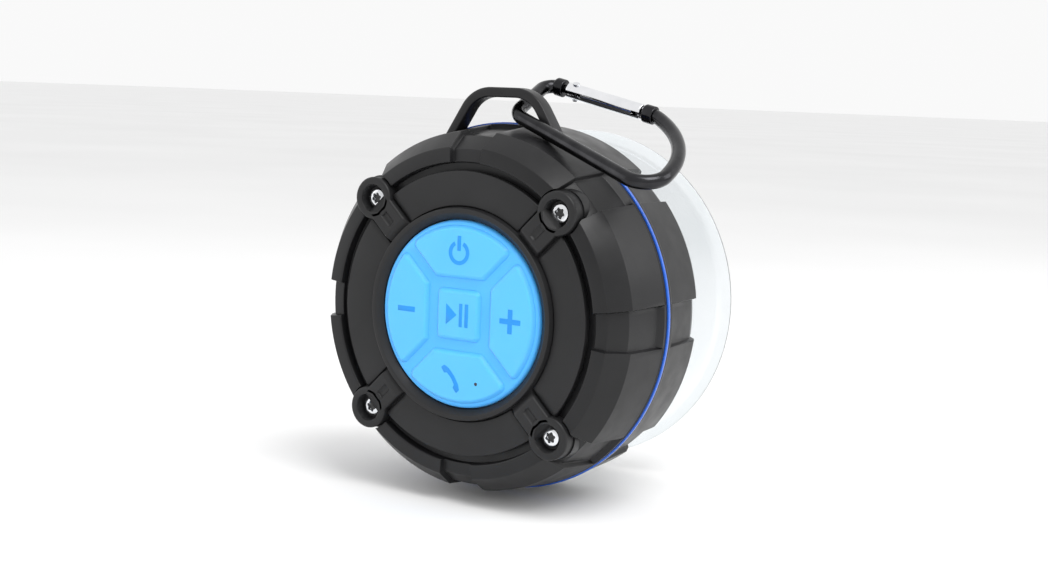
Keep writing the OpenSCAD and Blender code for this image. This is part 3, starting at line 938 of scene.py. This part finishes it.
def handle_path():
    """(x, y, direction) along the middle of the band, from the left foot to the right."""
    middle = BEND - HANDLE_BAND / 2
    centre_y = HANDLE_TOP - BEND
    right = []
    bend_steps, leg_steps = 12, 6
    for k in range(bend_steps + 1):
        a = math.radians(LEAN * k / bend_steps)
        right.append((BEND_X + middle * math.sin(a), centre_y + middle * math.cos(a),
                      -math.degrees(a)))
    x, y, _ = right[-1]
    lean = math.radians(LEAN)
    for k in range(1, leg_steps + 1):
        t = LEG * k / leg_steps
        right.append((x + t * math.cos(lean), y - t * math.sin(lean), -LEAN))
    left = [(-px, py, -pd) for px, py, pd in reversed(right)]
    return left + [(0.0, HANDLE_TOP - HANDLE_BAND / 2, 0.0)] + right


def make_handle():
    half, low, high = HANDLE_BAND / 2, SEAM + 0.05, 41.75
    section = fillet([(-half, low, 0.5), (half, low, 0.65), (half, high, 0.65),
                      (-half, high, 0.5)], 0.5, 5)
    rows = []
    for x, y, d in handle_path():
        a = math.radians(d)
        rows.append([(x - s * math.sin(a), y + s * math.cos(a), z) for s, z in section])
    piece("handle_band", capped(rows), BLACK, "housing", "handle", slot="housing_plastic")


make_handle()


# ---- snap hook -----------------------------------------------------------------

HOOK_R = 1.6
GATE_HEADING, GATE_SPAN = 11.4, 21.6
# stretches of the bar: (length,) is straight, (degrees, radius) is a bend
HOOK_PATH = [(1.1143,), (100.4, 3.3), (11.4266,), (62.6, 5.7), (34.85,), (113.1, 5), (0.6,),
             (53.6, 30), (0.6,), (30.3, 6), (1.5,)]
HOOK_TURN = Euler([math.radians(a) for a in (-68.5, -10.5, -17)], "XYZ").to_matrix()
GATE_TURN = HOOK_TURN @ Matrix.Rotation(math.radians(GATE_HEADING), 3, "Z")
HOOK_PLACE = Vector((6.57, 51.14, 24.25))


def gate_place(p):
    """A point given along the gate, from its hinge, in the row frame."""
    return seat(HOOK_PLACE + GATE_TURN @ Vector(p))


def hook_line():
    """(x, y, heading) along the hook's bar, in the gate's frame."""
    x, y, heading = 0.0, 0.0, 180.0
    out = [(x, y, heading)]
    for stretch in HOOK_PATH:
        if len(stretch) == 1:
            count = max(2, int(stretch[0] / 2))
            for _ in range(count):
                x += stretch[0] / count * math.cos(math.radians(heading))
                y += stretch[0] / count * math.sin(math.radians(heading))
                out.append((x, y, heading))
        else:
            turn, radius = stretch
            count = max(6, int(turn / 4))
            for _ in range(count):
                step = turn / count
                chord = 2 * radius * math.sin(math.radians(step / 2))
                x += chord * math.cos(math.radians(heading + step / 2))
                y += chord * math.sin(math.radians(heading + step / 2))
                heading += step
                out.append((x, y, heading))
    return out


def gate_lathe(profile, steps=48):
    """A closed (distance along the gate, radius) outline turned about the gate's axis."""
    return wrap([[(u, r * math.cos(a), r * math.sin(a)) for u, r in profile]
                 for a in round_angles(steps)])


def make_hook():
    """The hook's bar, its collars, the tongue and nose inside the gate, and the rivet heads."""
    around = round_angles(32)
    rows = []
    for x, y, heading in hook_line():
        a = math.radians(heading + 90)
        rows.append([(x + HOOK_R * math.cos(b) * math.cos(a), y + HOOK_R * math.cos(b) * math.sin(a),
                      HOOK_R * math.sin(b)) for b in around])
    shapes = [capped(rows)]
    for start, end in ((-2.6, -0.05), (GATE_SPAN + 0.05, GATE_SPAN + 2.9)):
        collar = fillet([(start, 0.4, 0.05), (start, 1.9, 0.1), (start + 0.35, 2.12, 0.3),
                         (end - 0.1, 2.12, 0.25), (end, 0.4, 0.05)], 0.1)
        shapes.append(gate_lathe(collar))
    tongue = fillet([(-0.2, -1.1, 0.05), (3.7, -1.2, 1.1), (3.7, 1.2, 1.1), (-0.2, 1.1, 0.05)],
                    0.2, 8)
    shapes.append(prism(tongue, -0.5, 0.5))
    nose = fillet([(GATE_SPAN - 2.2, -0.9, 0.5), (GATE_SPAN + 0.2, -1.1, 0.05),
                   (GATE_SPAN + 0.2, 1.1, 0.05), (GATE_SPAN - 2.2, 0.9, 0.5)], 0.2, 6)
    shapes.append(prism(nose, -0.4, 0.4))
    piece("hook_bar", join_shapes(*shapes), ANODISED, "hook", "hook_body", slot="black_anodised",
          place=gate_place)
    pivot = (2.9, 0.0)
    for side, name in ((-1, "gate_rivet_low"), (1, "gate_rivet_top")):
        head = [(0.75, 1.6), (0.75, 1.9), (0.62, 1.99), (0.35, 2.04), (0.1, 2.05)]
        rings = [[on_circle(pivot, r, a, w * side) for a in around] for r, w in head]
        piece(name, capped(rings), STEEL, "hook", slot="steel", place=gate_place)


def make_gate():
    """The tubular gate, slotted at both ends."""
    near, far, r, bore = 0.95, GATE_SPAN - 0.5, 1.84, 1.2
    profile = fillet([(near, bore, 0.05), (near, r, 0.25), (far, r, 0.25), (far, bore, 0.05)], 0.1)
    gate = piece("gate_tube", gate_lathe(profile), CHROME, "gate", "hook_gate", slot="gate_chrome",
                 place=gate_place)
    for start, end, half in ((0, 5.2, 0.65), (GATE_SPAN - 2.6, GATE_SPAN, 0.55)):
        carve(gate, prism(rectangle(start, -3, end, 3), -half, half), gate_place)


make_hook()
make_gate()


# ---- suction cup ---------------------------------------------------------------


def make_cup():
    cup = fillet([(0.02, 5.6, 0.01), (14, 5, 3), (27, 3, 3), (37.6, 0.5, 0.5), (38.6, 0.02, 0.3),
                  (41.2, 0.02, 0.2), (41.25, 0.7, 0.3), (38.4, 1.9, 0.8), (28, 5, 4), (16, 7.4, 2.5),
                  (11.4, 8.6, 1.2), (11, 11.15, 0.5), (3.95, 11.15, 0.1), (3.95, 9.45, 0.05),
                  (7.55, 9.45, 0.05), (7.55, 7.35, 0.05), (0.02, 7.35, 0.01)], 0.2, 5)
    piece("cup_skin", lathe(cup, 160), VINYL, "mount_cup", "suction_cup", slot="clear_vinyl", sharp=50)


def make_collar():
    """The knurled ring behind the cup, its grips scalloped."""
    grips, grip_steps, depth, grip_from = 16, 12, 0.55, 9
    section = fillet([(3.95, 11.25, 0.05), (10, 11.25, 0.35), (10, 13.35, 0.35),
                      (3.95, 13.35, 0.05)], 0.1)
    rows = []
    steps = grips * grip_steps
    for i in range(steps):
        wave = 0.5 + 0.5 * math.cos(TAU * grips * i / steps)
        rows.append([polar(r - (depth * wave ** 2 if r > grip_from else 0), 360 * i / steps, z)
                     for r, z in section])
    piece("collar_skin", wrap(rows), BLACK, "mount_cup", "cup_collar", slot="stud_plastic")


make_cup()
make_collar()


# ---- charging port flap --------------------------------------------------------


def make_flap():
    """A round-cornered rubber flap with a small raised ridge for the fingernail."""
    front, back, low, deep, half = -41.35, -40.37, 39, 44.6, 4
    rows = []
    for x, shrink in ((back, 0.15), (back - 0.15, 0.0), (front + 0.25, 0.0), (front + 0.06, 0.12),
                      (front, 0.35)):
        box = rectangle(-half + shrink, low + shrink, half - shrink, deep - shrink)
        rows.append([(x, y, z) for y, z in fillet(box, 0.9 - shrink / 2, 6)])
    ridge_z, ridge_half = 40.1, 2.2
    ridge = []
    for x, w in ((front + 0.1, 0.5), (front - 0.12, 0.42), (front - 0.16, 0.3)):
        box = rectangle(-ridge_half, ridge_z - w, ridge_half, ridge_z + w)
        ridge.append([(x, y, z) for y, z in fillet(box, 0.25, 4)])
    piece("flap_skin", join_shapes(capped(rows), capped(ridge)), RUBBER, "port_cover",
          "port_cover", slot="dark_rubber")


def make_socket():
    """The charging socket's rolled steel shell with its dark tongue."""
    front, back, middle = -38, -32.4, 41.5

    def around_middle(half_y, half_z, corner, steps=4):
        box = rectangle(-half_y, middle - half_z, half_y, middle + half_z)
        return fillet(box, corner, steps)

    outside = around_middle(3.75, 1.3, 1.25, 6)
    inside = around_middle(3.45, 1.0, 0.95, 6)
    rows = [[(front, *a), (back, *a), (back, *b), (front, *b)] for a, b in zip(outside, inside)]
    piece("usb_shell", wrap(rows), STEEL, "housing", "usb_socket", slot="steel")
    tongue = prism_x(around_middle(2.6, 0.35, 0.15), front + 0.5, back)
    stop = prism_x(around_middle(3.3, 0.9, 0.8), back - 0.6, back)
    piece("usb_tongue", join_shapes(tongue, stop), COMPONENT, "housing", slot="black_component")


make_flap()
make_socket()
